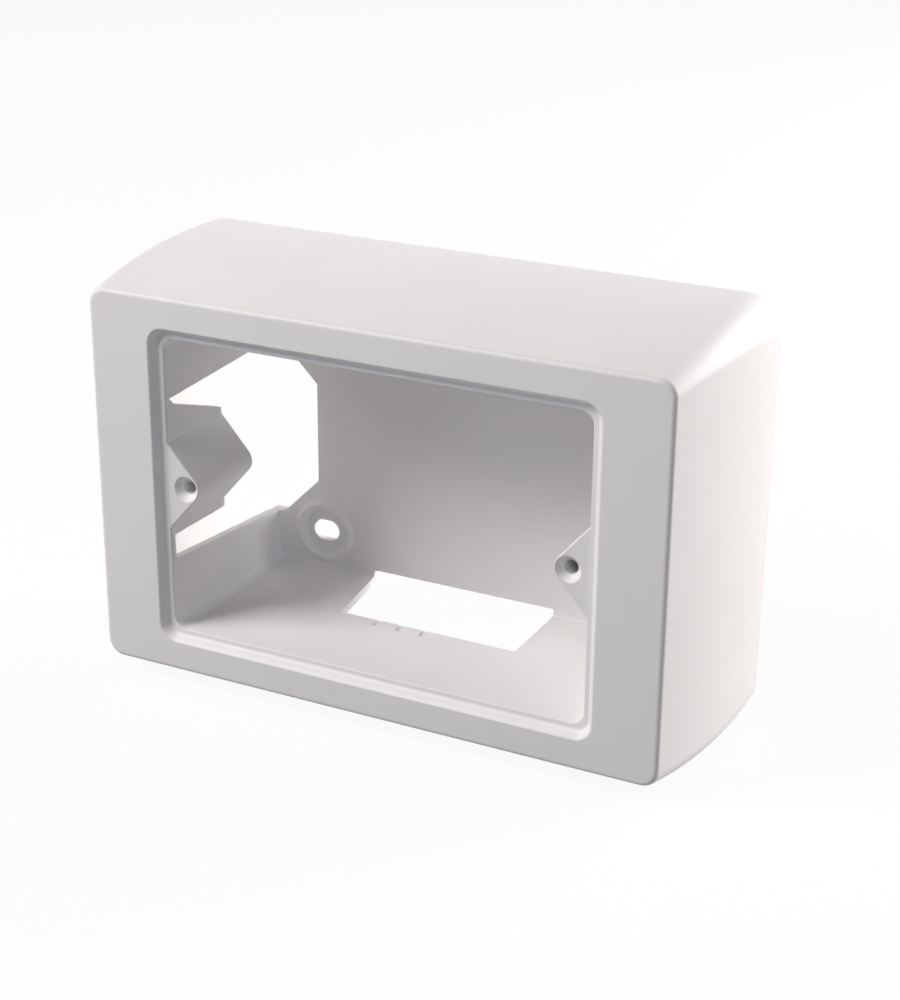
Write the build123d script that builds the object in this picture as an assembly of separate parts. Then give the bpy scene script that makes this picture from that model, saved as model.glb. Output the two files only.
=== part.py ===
from build123d import *
import os
from math import asin, atan2, cos, degrees, hypot, radians, sin

# Surface mount box, moulded in one piece. X runs along the box, Y into the wall and Z up.
# The wall plane is y = 0, the front face looks along -Y, and the origin is at the middle of the back.
# Depths named "at" are measured from the front face towards the wall.

# Outside of the shell
FRONT_WIDTH = 123.0
FRONT_HEIGHT = 79.4
DEPTH = 45.0
SIDE_FLARE = 3.65
TOP_FLARE = 4.1
REAR_LEAN = -1.0
FRONT_CORNER = 3.5
REAR_CORNER = 7.3
FRONT_ROUND = 0.9
SHELL_WALL = 1.4
FACE_THICKNESS = 2.0

# Front opening with its step and ledge
OPENING_WIDTH = 95.8
OPENING_HEIGHT = 66.5
OPENING_CORNER = 3.5
STEP_DEPTH = 1.8
STEP_RUN = 1.0
OPENING_ROUND = 0.6
LEDGE_WIDTH = 1.2
LEDGE_THICKNESS = 1.4

# Inner well behind the ledge
WELL_WALL = 1.6
WELL_DRAFT = 0.25
WELL_CORNER = 2.8
BACK_WALL = 2.3
BACK_FILLET = 0.5

# Device screw bosses on the left and right walls of the well
SCREW_SPACING = 83.3
BOSS_LENGTH = 20.3
BOSS_NOSE = 3.0
BOSS_HALF_BASE = 9.2
SCREW_BORE = 2.9
SCREW_MOUTH = 5.3
LEAD_IN = 1.5

# Cut-out of the left wall and the tongue that carries the left boss through it
CUT_FRONT = 3.4
CUT_UPPER_FRONT = 18.0
CUT_UPPER_REAR = 20.0
CUT_LOWER_FRONT = 16.3
CUT_LOWER_REAR = 19.5
TONGUE_UPPER_FRONT = 16.4
TONGUE_UPPER_REAR = 10.8
TONGUE_LOWER = 11.1
TONGUE_SHOULDER = 5.0
TONGUE_REAR = 21.3
TONGUE_CORNER = 1.0
TONGUE_BEAD = 1.8
TONGUE_BEAD_HEIGHT = 0.3

# Cut-out of the back wall beside it
BACK_CUT_EDGE = 35.3
BACK_CUT_HALF_HEIGHT = 19.7
BACK_CUT_CHAMFER = 8.7

# Cable cut-out in the floor of the well, with its three slits
FLOOR_CUT_FRONT = 24.0
FLOOR_CUT_RIGHT = 21.0
FLOOR_CUT_LEFT_FRONT = 19.2
FLOOR_CUT_LEFT_REAR = 21.6
FLOOR_CUT_RISE = 1.5
SLIT_WIDTH = 0.9
SLIT_LENGTH = 2.6
SLIT_PITCH = 5.3
SLIT_FIRST = -9.9
SLITS = 3

# Wall fixings: a raised ring, a seat for the screw head and a slotted hole
FIXING_X = 33.8
FIXING_Z = 22.5
RING_RADIUS = 7.2
RING_HEIGHT = 0.7
RING_SLOPE = 0.8
SEAT_RADIUS = 4.9
SEAT_DEPTH = 1.4
SEAT_SLOPE = 1.1
SEAT_RIM = 0.4
SLOT_LENGTH = 6.2
SLOT_HEIGHT = 4.6

# Straight stretches that follow the curve of the outer sides, how far a cutter reaches past a face,
# and how far a round stays short of the whole slab that it is cut from
STRETCHES = 9
OVERSHOOT = 1.0
TOUCH = 0.01

LEDGE_HALF_WIDTH = OPENING_WIDTH / 2 - STEP_RUN - LEDGE_WIDTH
LEDGE_HALF_HEIGHT = OPENING_HEIGHT / 2 - STEP_RUN - LEDGE_WIDTH
WELL_DEPTH = DEPTH - BACK_WALL
BOSS_END = STEP_DEPTH + BOSS_LENGTH


def cross_plane(at):
    """The plane across the box, at this depth behind the front face, with X and Z as its axes."""
    return Plane(origin=(0, at - DEPTH, 0), x_dir=(1, 0, 0), z_dir=(0, -1, 0))


def side_plane(x):
    """The plane along the side of the box at this x, with Y and Z as its axes."""
    return Plane(origin=(x, 0, 0), x_dir=(0, 1, 0), z_dir=(1, 0, 0))


def plan_plane(z):
    """The plane level with the floor at this height, with X and Y as its axes."""
    return Plane(origin=(0, 0, z), x_dir=(1, 0, 0), z_dir=(0, 0, 1))


def prism(sketch, at, length):
    """Carries an outline across the box from one depth towards the wall."""
    return extrude(cross_plane(at) * sketch, amount=-length)


def flank(flare, at):
    """How far an outer side has moved out at this depth, along a circular arc."""
    rear = radians(REAR_LEAN)
    front = 2 * atan2(flare, DEPTH) - rear
    radius = hypot(DEPTH, flare) / (2 * sin((front - rear) / 2))
    lean = asin(sin(front) - at / radius)
    return radius * (cos(lean) - cos(front))


def skin_section(at, wall):
    """The outline of the outer sides at this depth, this far in from them."""
    width = FRONT_WIDTH + 2 * (flank(SIDE_FLARE, at) - wall)
    height = FRONT_HEIGHT + 2 * (flank(TOP_FLARE, at) - wall)
    corner = FRONT_CORNER + (REAR_CORNER - FRONT_CORNER) * at / DEPTH - wall
    return cross_plane(at) * RectangleRounded(width, height, corner)


def skin(first, last, wall):
    """The body inside the outer sides, from one depth to another, this far in from them."""
    stretch = (last - first) / STRETCHES
    sections = [skin_section(first + stretch * step, wall) for step in range(STRETCHES + 1)]
    return loft(sections, ruled=True)


def front_slab():
    """The front of the box as far back as its round edge reaches."""
    slab = extrude(skin_section(FRONT_ROUND, 0), amount=FRONT_ROUND)
    face = slab.faces().sort_by(Axis.Y)[0]
    return fillet(face.edges(), FRONT_ROUND - TOUCH)


def outer_shell():
    """The flared outer skin with its round front edge, open to the wall."""
    body = front_slab() + skin(FRONT_ROUND, DEPTH, 0)
    return body - skin(FACE_THICKNESS, DEPTH + OVERSHOOT, SHELL_WALL)


def tapered(outline, at, length, run):
    """Carries an outline towards the wall while its sides close in by the run."""
    face = cross_plane(at) * outline
    return extrude(face, amount=-length, taper=degrees(atan2(run, length)))


def well_outline(wall):
    """The outline of the well at its mouth, this far out from its inner faces."""
    width = 2 * (LEDGE_HALF_WIDTH + wall)
    height = 2 * (LEDGE_HALF_HEIGHT + wall)
    return RectangleRounded(width, height, WELL_CORNER + wall)


def well_cavity():
    """The drafted room inside the well, with a fillet all round the back wall."""
    body = tapered(well_outline(0), STEP_DEPTH, WELL_DEPTH - STEP_DEPTH, WELL_DRAFT)
    rear = body.faces().sort_by(Axis.Y)[-1]
    return fillet(rear.edges(), BACK_FILLET)


def collar():
    """The thicker rim behind the step, which joins the front face to the well."""
    width = OPENING_WIDTH + 2 * WELL_WALL
    height = OPENING_HEIGHT + 2 * WELL_WALL
    outline = RectangleRounded(width, height, OPENING_CORNER + WELL_WALL)
    return prism(outline, FACE_THICKNESS / 2, STEP_DEPTH + LEDGE_THICKNESS - FACE_THICKNESS / 2)


def step_recess():
    """The stepped recess of the front opening, which ends at the ledge."""
    return tapered(RectangleRounded(OPENING_WIDTH, OPENING_HEIGHT, OPENING_CORNER), 0, STEP_DEPTH, STEP_RUN)


def soften_opening(box):
    """Rounds the edge of the front opening."""
    front = box.faces().filter_by(Axis.Y).sort_by(Axis.Y)[0]
    return fillet(front.inner_wires()[0].edges(), OPENING_ROUND)


def boss_outline():
    """The boss seen from the front: a triangle on the wall of the well with a round nose."""
    wall_x = LEDGE_HALF_WIDTH + WELL_WALL / 2
    nose_x = SCREW_SPACING / 2
    base = Polyline(
        (wall_x, BOSS_HALF_BASE), (LEDGE_HALF_WIDTH, BOSS_HALF_BASE), (nose_x, 0),
        (LEDGE_HALF_WIDTH, -BOSS_HALF_BASE), (wall_x, -BOSS_HALF_BASE), close=True,
    )
    nose = Pos(nose_x, 0) * Circle(BOSS_NOSE)
    reach = hypot(LEDGE_HALF_WIDTH - nose_x, BOSS_HALF_BASE)
    swing = atan2(BOSS_HALF_BASE, LEDGE_HALF_WIDTH - nose_x)
    touch = swing + atan2((reach**2 - BOSS_NOSE**2) ** 0.5, BOSS_NOSE)
    up = (nose_x + BOSS_NOSE * cos(touch), BOSS_NOSE * sin(touch))
    flanks = Polyline(
        (LEDGE_HALF_WIDTH, BOSS_HALF_BASE), up, (nose_x, 0), (up[0], -up[1]),
        (LEDGE_HALF_WIDTH, -BOSS_HALF_BASE), close=True,
    )
    return make_face(base) + make_face(flanks) + nose


def both_sides(shape):
    """The shape with its mirror image on the other side of the box."""
    return shape + mirror(shape, about=Plane.YZ)


def bosses():
    """The two device screw bosses, level with the ledge at the front."""
    return both_sides(prism(boss_outline(), STEP_DEPTH, BOSS_LENGTH))


def screw_bores():
    """The bores for the device screws, each with a cone at its mouth."""
    mouth = cross_plane(STEP_DEPTH) * Circle(SCREW_MOUTH / 2)
    neck = cross_plane(STEP_DEPTH + LEAD_IN) * Circle(SCREW_BORE / 2)
    bore = prism(Circle(SCREW_BORE / 2), STEP_DEPTH, BOSS_LENGTH + OVERSHOOT)
    return both_sides(Pos(SCREW_SPACING / 2, 0, 0) * (loft([mouth, neck]) + bore))


def wall_cut():
    """The cut-out of the left wall, a pointed slot above the tongue and a gap below it."""
    front = CUT_FRONT - DEPTH
    shoulder = TONGUE_SHOULDER - DEPTH
    end = TONGUE_REAR - DEPTH
    rear = WELL_DEPTH - DEPTH
    outline = make_face(Polyline(
        (end, TONGUE_UPPER_REAR), (end, -TONGUE_LOWER), (front, -TONGUE_LOWER),
        (front, -CUT_LOWER_FRONT), (rear, -CUT_LOWER_REAR), (rear, CUT_UPPER_REAR),
        (front, CUT_UPPER_FRONT), (shoulder, TONGUE_UPPER_FRONT), close=True,
    ))
    outline = fillet(outline.vertices().sort_by_distance((end, -TONGUE_LOWER))[0], TONGUE_CORNER)
    wall = side_plane(-LEDGE_HALF_WIDTH - WELL_WALL - OVERSHOOT) * outline
    return extrude(wall, amount=WELL_WALL + WELL_DRAFT + 2 * OVERSHOOT)


def tongue_bead():
    """The bead along the free end of the tongue."""
    height = TONGUE_UPPER_REAR + TONGUE_LOWER
    middle = (TONGUE_UPPER_REAR - TONGUE_LOWER) / 2
    width = TONGUE_BEAD_HEIGHT + WELL_WALL / 2
    centre = -LEDGE_HALF_WIDTH - WELL_WALL / 2 + width / 2
    return prism(Pos(centre, middle) * Rectangle(width, height), TONGUE_REAR - TONGUE_BEAD, TONGUE_BEAD)


def back_cut():
    """The cut-out of the back wall beside the tongue, with cut corners."""
    slant = BACK_CUT_HALF_HEIGHT - BACK_CUT_CHAMFER
    outer = LEDGE_HALF_WIDTH + WELL_WALL + OVERSHOOT
    outline = Polyline(
        (-outer, -BACK_CUT_HALF_HEIGHT), (-BACK_CUT_EDGE - BACK_CUT_CHAMFER, -BACK_CUT_HALF_HEIGHT),
        (-BACK_CUT_EDGE, -slant), (-BACK_CUT_EDGE, slant),
        (-BACK_CUT_EDGE - BACK_CUT_CHAMFER, BACK_CUT_HALF_HEIGHT), (-outer, BACK_CUT_HALF_HEIGHT),
        close=True,
    )
    return prism(make_face(outline), WELL_DEPTH - OVERSHOOT, BACK_WALL + 2 * OVERSHOOT)


def floor_cut():
    """The cable cut-out of the floor, which runs on through the foot of the back wall."""
    front = FLOOR_CUT_FRONT - DEPTH
    outline = Polyline(
        (-FLOOR_CUT_LEFT_FRONT, front), (FLOOR_CUT_RIGHT, front), (FLOOR_CUT_RIGHT, OVERSHOOT),
        (-FLOOR_CUT_LEFT_REAR, OVERSHOOT), (-FLOOR_CUT_LEFT_REAR, -BACK_WALL), close=True,
    )
    top = -LEDGE_HALF_HEIGHT + WELL_DRAFT + FLOOR_CUT_RISE
    cut = extrude(plan_plane(top) * make_face(outline), amount=-FLOOR_CUT_RISE - WELL_WALL - OVERSHOOT)
    for index in range(SLITS):
        slit = Pos(SLIT_FIRST + index * SLIT_PITCH, front) * Rectangle(SLIT_WIDTH, 2 * SLIT_LENGTH)
        cut += extrude(plan_plane(top) * slit, amount=-FLOOR_CUT_RISE - WELL_WALL - OVERSHOOT)
    return cut


def fixing_places():
    """The four places of the wall fixings, near the corners of the back wall."""
    return [(x, z) for x in (-FIXING_X, FIXING_X) for z in (-FIXING_Z, FIXING_Z)]


def fixing_ring(x, z):
    """The raised ring round a wall fixing, which slopes up from the back wall."""
    crest = cross_plane(WELL_DEPTH - RING_HEIGHT) * (Pos(x, z) * Circle(RING_RADIUS - RING_SLOPE))
    toe = cross_plane(WELL_DEPTH) * (Pos(x, z) * Circle(RING_RADIUS))
    return loft([crest, toe]) + prism(Pos(x, z) * Circle(RING_RADIUS), WELL_DEPTH, BACK_WALL / 2)


def fixing_hole(x, z):
    """The seat of a wall fixing with its sloping rim, and the slot through the back wall."""
    at = WELL_DEPTH - RING_HEIGHT
    mouth = Pos(x, z) * Circle(SEAT_RADIUS + SEAT_SLOPE)
    cone = tapered(mouth, at, SEAT_RIM, SEAT_SLOPE)
    seat = prism(Pos(x, z) * Circle(SEAT_RADIUS), at, SEAT_DEPTH)
    slot = prism(Pos(x, z) * SlotOverall(SLOT_LENGTH, SLOT_HEIGHT), at, DEPTH - at + OVERSHOOT)
    return cone + seat + slot


def mount_box():
    """The whole moulding."""
    box = outer_shell() + collar() + prism(well_outline(WELL_WALL), STEP_DEPTH, DEPTH - STEP_DEPTH)
    box -= step_recess()
    box = soften_opening(box - well_cavity())
    box -= wall_cut()
    box += bosses() + tongue_bead()
    for x, z in fixing_places():
        box += fixing_ring(x, z)
    box -= back_cut()
    box -= floor_cut()
    for x, z in fixing_places():
        box -= fixing_hole(x, z)
    return box - screw_bores()


os.makedirs("parts", exist_ok=True)
export_step(mount_box(), "parts/mount_box.step")
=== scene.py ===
from math import asin, atan2, cos, hypot, pi, radians, sin

import bmesh
import bpy
from mathutils import Euler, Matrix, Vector


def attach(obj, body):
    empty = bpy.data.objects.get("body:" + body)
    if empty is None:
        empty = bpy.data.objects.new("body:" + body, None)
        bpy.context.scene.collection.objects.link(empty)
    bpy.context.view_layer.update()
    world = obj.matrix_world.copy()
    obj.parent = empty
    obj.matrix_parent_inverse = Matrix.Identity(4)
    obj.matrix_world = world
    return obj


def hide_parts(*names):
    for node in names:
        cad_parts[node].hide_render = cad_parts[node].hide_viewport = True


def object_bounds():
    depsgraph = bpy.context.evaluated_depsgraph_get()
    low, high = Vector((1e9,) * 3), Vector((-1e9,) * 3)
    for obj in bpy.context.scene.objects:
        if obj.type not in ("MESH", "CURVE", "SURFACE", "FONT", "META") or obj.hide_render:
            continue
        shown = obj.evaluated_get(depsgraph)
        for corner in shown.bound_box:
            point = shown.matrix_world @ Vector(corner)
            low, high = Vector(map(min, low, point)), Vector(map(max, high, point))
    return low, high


# A surface mount box for the wall, moulded in one piece in satin white plastic.
# Sizes are in millimetres. X runs along the box, Y into the wall and Z up, with the wall plane at y = 0.
# Depths named "at" are measured from the front face towards the wall.

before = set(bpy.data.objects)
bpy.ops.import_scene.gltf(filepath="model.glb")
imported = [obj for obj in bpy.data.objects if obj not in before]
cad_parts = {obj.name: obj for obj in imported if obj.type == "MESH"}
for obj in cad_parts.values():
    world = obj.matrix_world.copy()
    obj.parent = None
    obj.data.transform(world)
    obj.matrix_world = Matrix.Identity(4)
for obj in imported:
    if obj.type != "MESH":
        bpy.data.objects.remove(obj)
cad_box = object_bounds()

MM = 0.001
TOUCH = 0.005

# Outside of the shell
FRONT_WIDTH = 123.0
FRONT_HEIGHT = 79.4
DEPTH = 45.0
SIDE_FLARE = 3.65
TOP_FLARE = 4.1
REAR_LEAN = -1.0
FRONT_CORNER = 3.5
REAR_CORNER = 7.3
FRONT_ROUND = 0.9
RIM_ROUND = 0.3
SHELL_WALL = 1.4
FACE_THICKNESS = 2.0
SKIN_STEPS = 14
CORNER_STEPS = 12
ROUND_STEPS = 48
NOSE_STEPS = 10

# Front opening with its step and ledge
OPENING_WIDTH = 95.8
OPENING_HEIGHT = 66.5
OPENING_CORNER = 3.5
OPENING_ROUND = 0.4
OPENING_FALL = 1.1
STEP_DEPTH = 1.8
STEP_RUN = 1.0
STEP_FOOT = 0.4
LEDGE_WIDTH = 1.2
LEDGE_ROUND = 0.3
LEDGE_THICKNESS = 1.4

# Inner well behind the ledge
WELL_WALL = 1.6
WELL_DRAFT = 0.25
WELL_CORNER = 2.8
BACK_WALL = 2.3
BACK_FILLET = 0.9

# Device screw bosses
SCREW_SPACING = 83.3
BOSS_LENGTH = 20.3
BOSS_NOSE = 3.0
BOSS_HALF_BASE = 9.2
BOSS_EDGE = 0.3
SCREW_BORE = 2.9
SCREW_MOUTH = 5.3
MOUTH_DEPTH = 0.1
LEAD_IN = 1.5

# Cut-out of the left wall and the tongue that carries the left boss through it
CUT_FRONT = 3.4
CUT_UPPER_FRONT = 18.0
CUT_UPPER_REAR = 20.0
CUT_LOWER_FRONT = 16.3
CUT_LOWER_REAR = 19.5
TONGUE_UPPER_FRONT = 16.4
TONGUE_UPPER_REAR = 10.8
TONGUE_LOWER = 11.1
TONGUE_SHOULDER = 5.0
TONGUE_REAR = 21.3
TONGUE_CORNER = 1.0
TONGUE_BEAD = 1.8
TONGUE_BEAD_HEIGHT = 0.3
TONGUE_BEAD_EDGE = 0.2

# Cut-out of the back wall beside it
BACK_CUT_EDGE = 35.3
BACK_CUT_HALF_HEIGHT = 19.7
BACK_CUT_CHAMFER = 8.7

# Cable cut-out in the floor of the well, with its three slits
FLOOR_CUT_FRONT = 24.0
FLOOR_CUT_RIGHT = 21.0
FLOOR_CUT_LEFT_FRONT = 19.2
FLOOR_CUT_LEFT_REAR = 21.6
FLOOR_CUT_RISE = 1.5
SLIT_WIDTH = 0.9
SLIT_LENGTH = 2.6
SLIT_PITCH = 5.3
SLIT_FIRST = -9.9
SLITS = 3

# Wall fixings
FIXING_X = 33.8
FIXING_Z = 22.5
RING_RADIUS = 7.2
RING_HEIGHT = 0.7
RING_SLOPE = 0.8
SEAT_RADIUS = 4.9
SEAT_DEPTH = 1.4
SEAT_SLOPE = 1.1
SEAT_RIM = 0.65
SLOT_LENGTH = 6.2
SLOT_HEIGHT = 4.6
POCKET_REST = 0.2

# How far a cutter reaches past a face, and how far a joined piece stays short of one that it would share
OVERSHOOT = 1.0
SEAM = 0.04

# How much of a sharp edge is broken, and the angles in degrees from which an edge is broken or stays a crease
SOFT_EDGE = 0.12
SHARP_ANGLE = 45
CREASE_ANGLE = 32

# Floor, world and lamps. Lamps have a name, azimuth, elevation, size in metres, power in watts and colour
FLOOR_SIZE = 6
FLOOR_GAP = 0.02
WORLD_LEVEL = 0.02
LAMP_DISTANCE = 0.9
LAMPS = [
    ("key", -47, 42, 0.4, 6.35, (1, 0.948, 0.935)),
    ("left fill", -60, 10, 0.6, 1.6, (0.7, 0.82, 1)),
    ("right fill", 45, 15, 0.6, 0.8, (0.75, 0.82, 1)),
    ("rear", 150, 15, 0.6, 9.6, (0.985, 0.985, 1)),
    ("right rear", 120, 8, 0.6, 3.9, (1, 0.875, 0.81)),
]

# The photograph's viewpoint, fitted to its outline: its place in metres, the point it looks at and its roll
CAMERA_PLACE = (0.1774, -0.3586, 0.1514)
CAMERA_TARGET = (13.54, -35.59, 5.63)
CAMERA_ROLL = 0.51
CAMERA_LENS = 73.98
SENSOR_WIDTH = 36.0

LEDGE_HALF_WIDTH = OPENING_WIDTH / 2 - STEP_RUN - LEDGE_WIDTH
LEDGE_HALF_HEIGHT = OPENING_HEIGHT / 2 - STEP_RUN - LEDGE_WIDTH
WELL_DEPTH = DEPTH - BACK_WALL
BOSS_END = STEP_DEPTH + BOSS_LENGTH


def place(x, at, z):
    """A point of the box in metres, from millimetres and the depth behind the front face."""
    return Vector((x, at - DEPTH, z)) * MM


def work_on(piece):
    """Leaves this piece alone selected and active."""
    bpy.ops.object.select_all(action="DESELECT")
    piece.select_set(True)
    bpy.context.view_layer.objects.active = piece


def settle(piece):
    """Brings a primitive's place and turn into its mesh."""
    work_on(piece)
    bpy.ops.object.transform_apply(location=True, rotation=True, scale=True)
    return piece


def pick(piece, wanted):
    """In edit mode, selects only the points for which wanted(x, at, z) holds, in millimetres."""
    shape = bmesh.from_edit_mesh(piece.data)
    for point in shape.verts:
        spot = piece.matrix_world @ point.co / MM
        point.select_set(wanted(spot.x, spot.y + DEPTH, spot.z))
    shape.select_flush_mode()
    bmesh.update_edit_mesh(piece.data)


def flank(flare, at):
    """How far an outer side has moved out at this depth, along a circular arc."""
    rear = radians(REAR_LEAN)
    front = 2 * atan2(flare, DEPTH) - rear
    radius = hypot(DEPTH, flare) / (2 * sin((front - rear) / 2))
    lean = asin(sin(front) - at / radius)
    return radius * (cos(lean) - cos(front))


def skin_loop(at, inward):
    """The outline of the outer sides at this depth, this far in from them."""
    width = FRONT_WIDTH / 2 + flank(SIDE_FLARE, at) - inward
    height = FRONT_HEIGHT / 2 + flank(TOP_FLARE, at) - inward
    return width, height, FRONT_CORNER + (REAR_CORNER - FRONT_CORNER) * at / DEPTH - inward, at


def opening_loop(at, outward):
    """The outline of the front opening, this far out from its edge."""
    return OPENING_WIDTH / 2 + outward, OPENING_HEIGHT / 2 + outward, OPENING_CORNER + outward, at


def well_loop(at, outward):
    """The outline of the well, this far out from its mouth."""
    return LEDGE_HALF_WIDTH + outward, LEDGE_HALF_HEIGHT + outward, WELL_CORNER + outward, at


def eased(start, corner, end, steps):
    """Points along a soft bend that takes the place of a sharp corner of a profile."""
    points = []
    for step in range(steps + 1):
        t = step / steps
        near, middle, far = (1 - t) ** 2, 2 * t * (1 - t), t ** 2
        points.append(tuple(near * a + middle * b + far * c for a, b, c in zip(start, corner, end)))
    return points


def well_loops():
    """The inside of the well, from the middle of its back wall out to the ledge."""
    draft = WELL_DRAFT / (WELL_DEPTH - STEP_DEPTH)
    back = eased(
        (WELL_DEPTH, -WELL_DRAFT - BACK_FILLET), (WELL_DEPTH, -WELL_DRAFT),
        (WELL_DEPTH - BACK_FILLET, -WELL_DRAFT + draft * BACK_FILLET), 6,
    )
    ledge = eased(
        (STEP_DEPTH + LEDGE_ROUND, -draft * LEDGE_ROUND), (STEP_DEPTH, 0), (STEP_DEPTH, LEDGE_ROUND), 3,
    )
    return [well_loop(at, outward) for at, outward in back + ledge]


def step_loops():
    """The step from the ledge up to the edge of the opening."""
    slope = STEP_RUN / STEP_DEPTH
    foot = eased(
        (STEP_DEPTH, -STEP_RUN - STEP_FOOT), (STEP_DEPTH, -STEP_RUN),
        (STEP_DEPTH - STEP_FOOT, -STEP_RUN + slope * STEP_FOOT), 4,
    )
    edge = eased((OPENING_FALL, -slope * OPENING_FALL), (0, 0), (0, OPENING_ROUND), 7)
    return [opening_loop(at, outward) for at, outward in foot + edge]


def skin_loops():
    """The front edge, the flared outer sides, the rim at the wall and the inside of the shell."""
    edge = eased((0, FRONT_ROUND), (0, 0), (FRONT_ROUND, 0), 6)
    rear = DEPTH - RIM_ROUND
    sides = [(FRONT_ROUND + (rear - FRONT_ROUND) * step / SKIN_STEPS, 0) for step in range(1, SKIN_STEPS)]
    outer_rim = eased((rear, 0), (DEPTH, 0), (DEPTH, RIM_ROUND), 3)
    inner_rim = eased((DEPTH, SHELL_WALL - RIM_ROUND), (DEPTH, SHELL_WALL), (rear, SHELL_WALL), 3)
    inside = [
        (rear + (FACE_THICKNESS - rear) * step / SKIN_STEPS, SHELL_WALL) for step in range(1, SKIN_STEPS + 1)
    ]
    return [skin_loop(at, inward) for at, inward in edge + sides + outer_rim + inner_rim + inside]


def rear_loops():
    """The collar behind the step and the outside of the well, back to the wall plane."""
    collar = STEP_DEPTH + LEDGE_THICKNESS
    return [
        opening_loop(FACE_THICKNESS, WELL_WALL), opening_loop(collar, WELL_WALL),
        well_loop(collar, WELL_WALL), well_loop(DEPTH, WELL_WALL),
    ]


def on_loop(loop, x, at, z):
    """Whether a point lies on this rounded outline."""
    width, height, corner, depth = loop
    beyond = (abs(x) - width + corner, abs(z) - height + corner)
    reach = hypot(max(beyond[0], 0), max(beyond[1], 0))
    return abs(at - depth) < TOUCH and min(beyond) > -TOUCH and abs(reach - corner) < TOUCH


def level(pair):
    """Whether two outlines lie at the same depth, one round the other."""
    return pair[0][3] == pair[1][3]


def add_loop(piece, loop):
    """Adds a rounded rectangle to the mesh being edited, as a ring of edges."""
    width, height, corner, at = loop
    middle = place(0, at, 0)
    bpy.ops.mesh.primitive_plane_add(size=2 * MM, location=middle, rotation=(pi / 2, 0, 0))
    bpy.ops.transform.resize(value=(width, 1, height), center_override=middle)
    bpy.ops.mesh.bevel(offset=corner * MM, segments=CORNER_STEPS, affect="VERTICES", clamp_overlap=False)
    pick(piece, lambda x, y, z: on_loop(loop, x, y, z))
    bpy.ops.mesh.delete(type="ONLY_FACE")


def model_housing():
    """Shell, front frame and well as one closed skin, bridged from outline to outline."""
    loops = well_loops() + step_loops() + skin_loops() + rear_loops()
    bpy.ops.object.select_all(action="DESELECT")
    bpy.ops.mesh.primitive_plane_add(size=MM)
    housing = bpy.context.object
    housing.name = "housing"
    bpy.ops.object.mode_set(mode="EDIT")
    bpy.ops.mesh.select_all(action="SELECT")
    bpy.ops.mesh.delete(type="VERT")
    for loop in loops:
        add_loop(housing, loop)
    for first, second in sorted(zip(loops, loops[1:]), key=level):
        pick(housing, lambda x, y, z: on_loop(first, x, y, z) or on_loop(second, x, y, z))
        if level((first, second)):
            bpy.ops.mesh.fill()
        else:
            bpy.ops.mesh.bridge_edge_loops()
    for end in (loops[0], loops[-1]):
        pick(housing, lambda x, y, z: on_loop(end, x, y, z))
        bpy.ops.mesh.edge_face_add()
    bpy.ops.mesh.select_all(action="SELECT")
    bpy.ops.mesh.normals_make_consistent(inside=False)
    bpy.ops.object.mode_set(mode="OBJECT")
    return housing


def drawn_prism(name, corners, length):
    """A prism from an outline that is drawn from corner to corner, then extruded by the length."""
    points = [place(*corner) for corner in corners]
    bpy.ops.object.select_all(action="DESELECT")
    bpy.ops.mesh.primitive_plane_add(size=MM, location=points[0])
    piece = bpy.context.object
    piece.name = name
    bpy.ops.object.mode_set(mode="EDIT")
    bpy.ops.mesh.merge(type="CENTER")
    for start, end in zip(points, points[1:] + points[:1]):
        bpy.ops.mesh.extrude_vertices_move(TRANSFORM_OT_translate={"value": end - start})
    bpy.ops.mesh.select_all(action="SELECT")
    bpy.ops.mesh.remove_doubles(threshold=TOUCH * MM)
    bpy.ops.mesh.edge_face_add()
    bpy.ops.mesh.extrude_region_move(TRANSFORM_OT_translate={"value": Vector(length) * MM})
    bpy.ops.mesh.select_all(action="SELECT")
    bpy.ops.mesh.normals_make_consistent(inside=False)
    bpy.ops.object.mode_set(mode="OBJECT")
    return settle(piece)


def turned_post(name, x, z, profile):
    """A round post or cutter along the depth of the box, from (radius, depth) pairs, front to back."""
    bpy.ops.object.select_all(action="DESELECT")
    first = place(x + profile[0][0], profile[0][1], z)
    bpy.ops.mesh.primitive_plane_add(size=MM, location=first)
    piece = bpy.context.object
    piece.name = name
    bpy.ops.object.mode_set(mode="EDIT")
    bpy.ops.mesh.merge(type="CENTER")
    for start, end in zip(profile, profile[1:]):
        step = Vector((end[0] - start[0], end[1] - start[1], 0)) * MM
        bpy.ops.mesh.extrude_vertices_move(TRANSFORM_OT_translate={"value": step})
    bpy.ops.mesh.select_all(action="SELECT")
    bpy.ops.mesh.spin(steps=ROUND_STEPS, angle=2 * pi, center=place(x, 0, z), axis=(0, 1, 0))
    bpy.ops.mesh.select_all(action="SELECT")
    bpy.ops.mesh.remove_doubles(threshold=TOUCH * MM)
    for radius, depth in (profile[0], profile[-1]):
        pick(piece, lambda px, at, pz: (
            abs(at - depth) < TOUCH and abs(hypot(px - x, pz - z) - radius) < TOUCH
        ))
        bpy.ops.mesh.edge_face_add()
    bpy.ops.mesh.select_all(action="SELECT")
    bpy.ops.mesh.normals_make_consistent(inside=False)
    bpy.ops.object.mode_set(mode="OBJECT")
    return settle(piece)


def combine(housing, tool, operation):
    """Joins a tool to the housing, or cuts it away, and removes the tool."""
    work_on(housing)
    bpy.ops.object.modifier_add(type="BOOLEAN")
    modifier = housing.modifiers[-1]
    modifier.operation = operation
    modifier.solver = "EXACT"
    modifier.object = tool
    bpy.ops.object.modifier_apply(modifier=modifier.name)
    bpy.data.objects.remove(tool)


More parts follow.
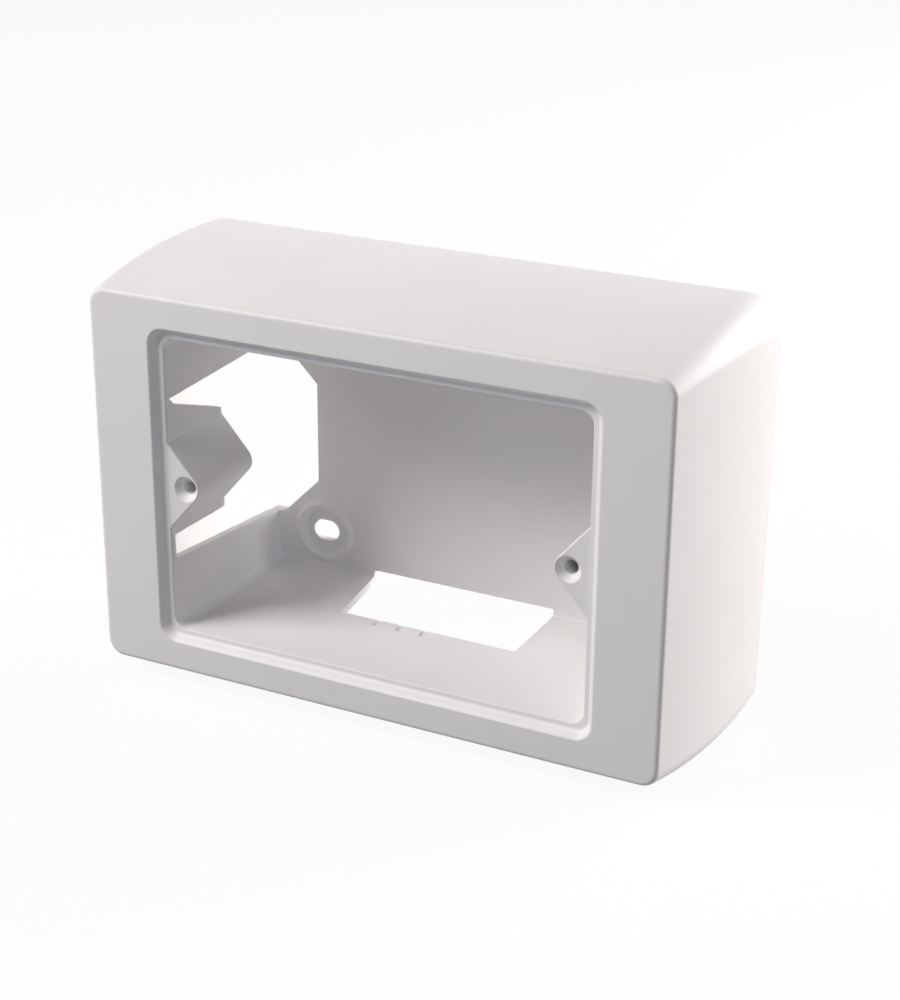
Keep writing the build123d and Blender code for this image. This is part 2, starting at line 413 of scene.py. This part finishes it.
def boss(side):
    """A three-sided screw boss with a round nose, grown from the wall of the well on this side."""
    screw = SCREW_SPACING / 2
    root = LEDGE_HALF_WIDTH + WELL_WALL / 2
    reach = hypot(LEDGE_HALF_WIDTH - screw, BOSS_HALF_BASE)
    lean = atan2(BOSS_HALF_BASE, LEDGE_HALF_WIDTH - screw) - asin(BOSS_NOSE / reach)
    apex = screw - BOSS_NOSE / sin(lean)
    spread = (root - apex) * sin(lean) / cos(lean)
    front = STEP_DEPTH + SEAM
    rear = BOSS_END - 2 * SEAM
    piece = drawn_prism("boss", [
        (side * root, front, spread), (side * apex, front, 0), (side * root, front, -spread),
    ], (0, rear - front, 0))
    work_on(piece)
    bpy.ops.object.mode_set(mode="EDIT")
    pick(piece, lambda x, at, z: abs(abs(x) - apex) < TOUCH)
    touching = BOSS_NOSE * cos(lean) / sin(lean)
    bpy.ops.mesh.bevel(offset=touching * MM, segments=NOSE_STEPS, affect="EDGES")
    for end in (front, rear):
        pick(piece, lambda x, at, z: abs(at - end) < TOUCH)
        bpy.ops.mesh.bevel(offset=BOSS_EDGE * MM, segments=3, affect="EDGES")
    bpy.ops.object.mode_set(mode="OBJECT")
    return piece


def screw_bore(side):
    """The bore for a device screw, with a cone at its mouth."""
    return turned_post("bore", side * SCREW_SPACING / 2, 0, [
        (SCREW_MOUTH / 2, STEP_DEPTH - OVERSHOOT), (SCREW_MOUTH / 2, STEP_DEPTH + MOUTH_DEPTH),
        (SCREW_BORE / 2, STEP_DEPTH + LEAD_IN), (SCREW_BORE / 2, BOSS_END + OVERSHOOT),
    ])


def wall_cutter():
    """The cut-out of the left wall, a pointed slot above the tongue and a gap below it."""
    outside = -LEDGE_HALF_WIDTH - WELL_WALL - OVERSHOOT
    cutter = drawn_prism("wall cutter", [
        (outside, TONGUE_REAR, TONGUE_UPPER_REAR), (outside, TONGUE_REAR, -TONGUE_LOWER),
        (outside, CUT_FRONT, -TONGUE_LOWER), (outside, CUT_FRONT, -CUT_LOWER_FRONT),
        (outside, WELL_DEPTH, -CUT_LOWER_REAR), (outside, WELL_DEPTH, CUT_UPPER_REAR),
        (outside, CUT_FRONT, CUT_UPPER_FRONT), (outside, TONGUE_SHOULDER, TONGUE_UPPER_FRONT),
    ], (WELL_WALL + WELL_DRAFT + 2 * OVERSHOOT, 0, 0))
    work_on(cutter)
    bpy.ops.object.mode_set(mode="EDIT")
    pick(cutter, lambda x, at, z: abs(at - TONGUE_REAR) < TOUCH and abs(z + TONGUE_LOWER) < TOUCH)
    bpy.ops.mesh.bevel(offset=TONGUE_CORNER * MM, segments=6, affect="EDGES")
    bpy.ops.object.mode_set(mode="OBJECT")
    return cutter


def tongue_bead():
    """The bead along the free end of the tongue."""
    inside = -LEDGE_HALF_WIDTH + TONGUE_BEAD_HEIGHT
    outside = -LEDGE_HALF_WIDTH - WELL_WALL / 2
    start = TONGUE_REAR - TONGUE_BEAD
    end = TONGUE_REAR - SEAM
    low = SEAM - TONGUE_LOWER
    bead = drawn_prism("bead", [
        (outside, start, low), (inside, start, low), (inside, end, low), (outside, end, low),
    ], (0, 0, TONGUE_UPPER_REAR - SEAM - low))
    work_on(bead)
    bpy.ops.object.mode_set(mode="EDIT")
    pick(bead, lambda x, at, z: abs(x - inside) < TOUCH)
    bpy.ops.mesh.bevel(offset=TONGUE_BEAD_EDGE * MM, segments=3, affect="EDGES")
    bpy.ops.object.mode_set(mode="OBJECT")
    return bead


def back_cutter():
    """The cut-out of the back wall beside the tongue, with cut corners."""
    front = WELL_DEPTH - OVERSHOOT
    half = BACK_CUT_HALF_HEIGHT
    slant = half - BACK_CUT_CHAMFER
    corner = -BACK_CUT_EDGE - BACK_CUT_CHAMFER
    outer = LEDGE_HALF_WIDTH + WELL_WALL + OVERSHOOT
    return drawn_prism("back cutter", [
        (-outer, front, -half), (corner, front, -half),
        (-BACK_CUT_EDGE, front, -slant), (-BACK_CUT_EDGE, front, slant),
        (corner, front, half), (-outer, front, half),
    ], (0, BACK_WALL + 2 * OVERSHOOT, 0))


def floor_cutter():
    """The cable cut-out of the floor, which runs on through the foot of the back wall."""
    top = -LEDGE_HALF_HEIGHT + WELL_DRAFT + FLOOR_CUT_RISE
    front = FLOOR_CUT_FRONT
    drop = (0, 0, -FLOOR_CUT_RISE - WELL_WALL - WELL_DRAFT - OVERSHOOT)
    outline = [(-FLOOR_CUT_LEFT_FRONT, front, top)]
    for index in range(SLITS):
        middle = SLIT_FIRST + index * SLIT_PITCH
        outline += [
            (middle - SLIT_WIDTH / 2, front, top), (middle - SLIT_WIDTH / 2, front - SLIT_LENGTH, top),
            (middle + SLIT_WIDTH / 2, front - SLIT_LENGTH, top), (middle + SLIT_WIDTH / 2, front, top),
        ]
    outline += [
        (FLOOR_CUT_RIGHT, front, top), (FLOOR_CUT_RIGHT, DEPTH + OVERSHOOT, top),
        (-FLOOR_CUT_LEFT_REAR, DEPTH + OVERSHOOT, top), (-FLOOR_CUT_LEFT_REAR, WELL_DEPTH, top),
    ]
    return drawn_prism("floor cutter", outline, drop)


def fixing_pocket(x, z):
    """The round pocket of the back wall that a wall fixing is set into."""
    radius = RING_RADIUS - RING_SLOPE / 2
    rear = WELL_DEPTH - RING_HEIGHT + SEAT_DEPTH + POCKET_REST
    return turned_post("pocket", x, z, [(radius, WELL_DEPTH - OVERSHOOT), (radius, rear)])


def fixing_ring(x, z):
    """A wall fixing: the seat for a screw head in a ring that swells softly out of the back wall."""
    top = WELL_DEPTH - RING_HEIGHT
    rim = (SEAT_RADIUS + SEAT_SLOPE, top)
    shoulder = (RING_RADIUS - RING_SLOPE, top)
    toe = (RING_RADIUS, WELL_DEPTH)
    crest = ((rim[0] + shoulder[0]) / 2, top)
    middle = ((shoulder[0] + toe[0]) / 2, (top + WELL_DEPTH) / 2)
    end = (RING_RADIUS + RING_SLOPE / 2, WELL_DEPTH + SEAM)
    profile = [(SEAT_RADIUS, top + SEAT_DEPTH)] + eased((SEAT_RADIUS, top + SEAT_RIM), rim, crest, 5)
    profile += eased(crest, shoulder, middle, 4)[1:] + eased(middle, toe, end, 4)[1:]
    return turned_post("ring", x, z, profile + [(end[0], WELL_DEPTH + BACK_WALL / 2)])


def fixing_slot(x, z):
    """The slotted hole through the back wall: a round cutter whose halves are moved apart."""
    radius = SLOT_HEIGHT / 2
    half_step = pi / ROUND_STEPS
    bpy.ops.object.select_all(action="DESELECT")
    bpy.ops.mesh.primitive_cylinder_add(
        vertices=ROUND_STEPS, radius=radius * MM, depth=2 * BACK_WALL * MM, location=place(x, DEPTH, z),
        rotation=(pi / 2, half_step, 0),
    )
    slot = settle(bpy.context.object)
    slot.name = "slot"
    stretch = (SLOT_LENGTH - SLOT_HEIGHT) / 2 * MM
    bpy.ops.object.mode_set(mode="EDIT")
    for side in (-1, 1):
        pick(slot, lambda px, at, pz: side * (px - x) > 0)
        bpy.ops.transform.translate(value=(side * stretch, 0, 0))
    bpy.ops.object.mode_set(mode="OBJECT")
    return slot


def finish_edges(housing):
    """Breaks the sharp edges a little, smooths what is round and keeps what is flat."""
    work_on(housing)
    bpy.ops.object.mode_set(mode="EDIT")
    bpy.ops.mesh.select_mode(type="FACE")
    bpy.ops.mesh.select_face_by_sides(number=4, type="GREATER", extend=False)
    bpy.ops.mesh.quads_convert_to_tris(quad_method="BEAUTY", ngon_method="BEAUTY")
    bpy.ops.mesh.select_mode(type="VERT")
    bpy.ops.object.mode_set(mode="OBJECT")
    bpy.ops.object.modifier_add(type="BEVEL")
    modifier = housing.modifiers[-1]
    modifier.width = SOFT_EDGE * MM
    modifier.segments = 2
    modifier.angle_limit = radians(SHARP_ANGLE)
    modifier.use_clamp_overlap = False
    bpy.ops.object.modifier_apply(modifier=modifier.name)
    bpy.ops.object.shade_smooth_by_angle(angle=radians(CREASE_ANGLE))
    bpy.ops.object.modifier_add(type="WEIGHTED_NORMAL")
    modifier = housing.modifiers[-1]
    modifier.keep_sharp = True
    modifier.weight = 80
    bpy.ops.object.modifier_apply(modifier=modifier.name)


def model_box():
    """The whole moulding."""
    housing = model_housing()
    combine(housing, wall_cutter(), "DIFFERENCE")
    combine(housing, tongue_bead(), "UNION")
    for side in (-1, 1):
        combine(housing, boss(side), "UNION")
    places = [(x, z) for x in (-FIXING_X, FIXING_X) for z in (-FIXING_Z, FIXING_Z)]
    for x, z in places:
        combine(housing, fixing_pocket(x, z), "DIFFERENCE")
        combine(housing, fixing_ring(x, z), "UNION")
    combine(housing, back_cutter(), "DIFFERENCE")
    combine(housing, floor_cutter(), "DIFFERENCE")
    for x, z in places:
        combine(housing, fixing_slot(x, z), "DIFFERENCE")
    for side in (-1, 1):
        combine(housing, screw_bore(side), "DIFFERENCE")
    finish_edges(housing)
    return housing


def satin_plastic():
    """White moulding plastic: an even tone, a satin skin and a very fine grain."""
    material = bpy.data.materials.new("moulding plastic")
    material.use_nodes = True
    nodes = material.node_tree.nodes
    links = material.node_tree.links
    skin = nodes["Principled BSDF"]
    skin.inputs["IOR"].default_value = 1.5
    skin.inputs["Specular IOR Level"].default_value = 0.35
    spot = nodes.new("ShaderNodeTexCoord")

    cloud = nodes.new("ShaderNodeTexNoise")
    cloud.inputs["Scale"].default_value = 45.0
    cloud.inputs["Detail"].default_value = 3.0
    links.new(spot.outputs["Object"], cloud.inputs["Vector"])
    tone = nodes.new("ShaderNodeValToRGB")
    tone.color_ramp.elements[0].position = 0.3
    tone.color_ramp.elements[0].color = (0.905, 0.885, 0.878, 1)
    tone.color_ramp.elements[1].position = 0.7
    tone.color_ramp.elements[1].color = (0.925, 0.908, 0.902, 1)
    links.new(cloud.outputs["Fac"], tone.inputs["Fac"])
    links.new(tone.outputs["Color"], skin.inputs["Base Color"])

    sheen = nodes.new("ShaderNodeMapRange")
    sheen.inputs["To Min"].default_value = 0.42
    sheen.inputs["To Max"].default_value = 0.5
    links.new(cloud.outputs["Fac"], sheen.inputs["Value"])
    links.new(sheen.outputs["Result"], skin.inputs["Roughness"])

    grain = nodes.new("ShaderNodeTexNoise")
    grain.inputs["Scale"].default_value = 2600.0
    grain.inputs["Detail"].default_value = 2.0
    links.new(spot.outputs["Object"], grain.inputs["Vector"])
    bump = nodes.new("ShaderNodeBump")
    bump.inputs["Strength"].default_value = 0.12
    bump.inputs["Distance"].default_value = 0.02 * MM
    links.new(grain.outputs["Fac"], bump.inputs["Height"])
    links.new(bump.outputs["Normal"], skin.inputs["Normal"])
    return material


def seen_directly(nodes, links, share):
    """This share for rays of the camera, of reflections and of glass, and nothing for the light itself."""
    path = nodes.new("ShaderNodeLightPath")
    total = None
    for ray in ("Is Camera Ray", "Is Glossy Ray", "Is Transmission Ray"):
        if total is None:
            total = path.outputs[ray]
            continue
        either = nodes.new("ShaderNodeMath")
        either.operation = "MAXIMUM"
        links.new(total, either.inputs[0])
        links.new(path.outputs[ray], either.inputs[1])
        total = either.outputs[0]
    part = nodes.new("ShaderNodeMath")
    part.operation = "MULTIPLY"
    part.inputs[1].default_value = share
    links.new(total, part.inputs[0])
    return part.outputs[0]


def backdrop_material():
    """A floor that is seen white with a soft shadow, and throws only a little light back on the box."""
    material = bpy.data.materials.new("white floor")
    material.use_nodes = True
    nodes = material.node_tree.nodes
    links = material.node_tree.links
    plain = nodes["Principled BSDF"]
    plain.inputs["Roughness"].default_value = 0.9
    paint = nodes.new("ShaderNodeMapRange")
    paint.inputs["To Min"].default_value = 0.2
    paint.inputs["To Max"].default_value = 0.95
    links.new(seen_directly(nodes, links, 1.0), paint.inputs["Value"])
    links.new(paint.outputs["Result"], plain.inputs["Base Color"])
    glow = nodes.new("ShaderNodeEmission")
    glow.inputs["Strength"].default_value = 1.0
    mix = nodes.new("ShaderNodeMixShader")
    links.new(seen_directly(nodes, links, 0.93), mix.inputs["Fac"])
    links.new(plain.outputs["BSDF"], mix.inputs[1])
    links.new(glow.outputs["Emission"], mix.inputs[2])
    links.new(mix.outputs["Shader"], nodes["Material Output"].inputs["Surface"])
    return material


def lay_floor():
    """The floor that the box stands on."""
    low = cad_box[0][2]
    bpy.ops.object.select_all(action="DESELECT")
    bpy.ops.mesh.primitive_plane_add(size=FLOOR_SIZE, location=(0, 0, low - FLOOR_GAP * MM))
    floor = bpy.context.object
    floor.name = "floor"
    floor.data.materials.append(backdrop_material())


def light_world(level):
    """An even grey light from all round, seen as white behind the box."""
    world = bpy.data.worlds.new("studio")
    bpy.context.scene.world = world
    world.use_nodes = True
    nodes = world.node_tree.nodes
    links = world.node_tree.links
    dim = nodes["Background"]
    dim.inputs["Color"].default_value = (1, 1, 1, 1)
    dim.inputs["Strength"].default_value = level
    white = nodes.new("ShaderNodeBackground")
    white.inputs["Color"].default_value = (1, 1, 1, 1)
    white.inputs["Strength"].default_value = 1.0
    mix = nodes.new("ShaderNodeMixShader")
    links.new(seen_directly(nodes, links, 1.0), mix.inputs["Fac"])
    links.new(dim.outputs["Background"], mix.inputs[1])
    links.new(white.outputs["Background"], mix.inputs[2])
    links.new(mix.outputs["Shader"], nodes["World Output"].inputs["Surface"])


def soft_light(name, azimuth, elevation, size, power, color):
    """A square soft light that faces the box. Azimuth 0 is in front of it, 90 on its +X side."""
    turn = radians(azimuth)
    rise = radians(elevation)
    way = Vector((cos(rise) * sin(turn), -cos(rise) * cos(turn), sin(rise)))
    middle = place(0, DEPTH / 2, 0)
    bpy.ops.object.select_all(action="DESELECT")
    bpy.ops.object.light_add(type="AREA", location=middle + way * LAMP_DISTANCE)
    lamp = bpy.context.object
    lamp.name = name
    lamp.rotation_euler = way.to_track_quat("Z", "Y").to_euler()
    lamp.data.shape = "SQUARE"
    lamp.data.size = size
    lamp.data.energy = power
    lamp.data.color = color


def set_camera():
    """Puts the camera at the photograph's viewpoint."""
    bpy.ops.object.select_all(action="DESELECT")
    bpy.ops.object.camera_add(location=CAMERA_PLACE)
    camera = bpy.context.object
    target = Vector(CAMERA_TARGET) * MM
    away = (camera.location - target).normalized()
    turned = away.to_track_quat("Z", "Y").to_matrix() @ Euler((0, 0, radians(CAMERA_ROLL))).to_matrix()
    camera.rotation_euler = turned.to_euler()
    camera.data.lens = CAMERA_LENS
    camera.data.sensor_width = SENSOR_WIDTH
    camera.data.clip_start = 0.01
    bpy.context.scene.camera = camera


box = model_box()
box.data.materials.append(satin_plastic())
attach(box, "root")
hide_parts("mount_box")

lay_floor()
light_world(WORLD_LEVEL)
for lamp in LAMPS:
    soft_light(*lamp)
set_camera()
bpy.context.scene.view_settings.view_transform = "Standard"
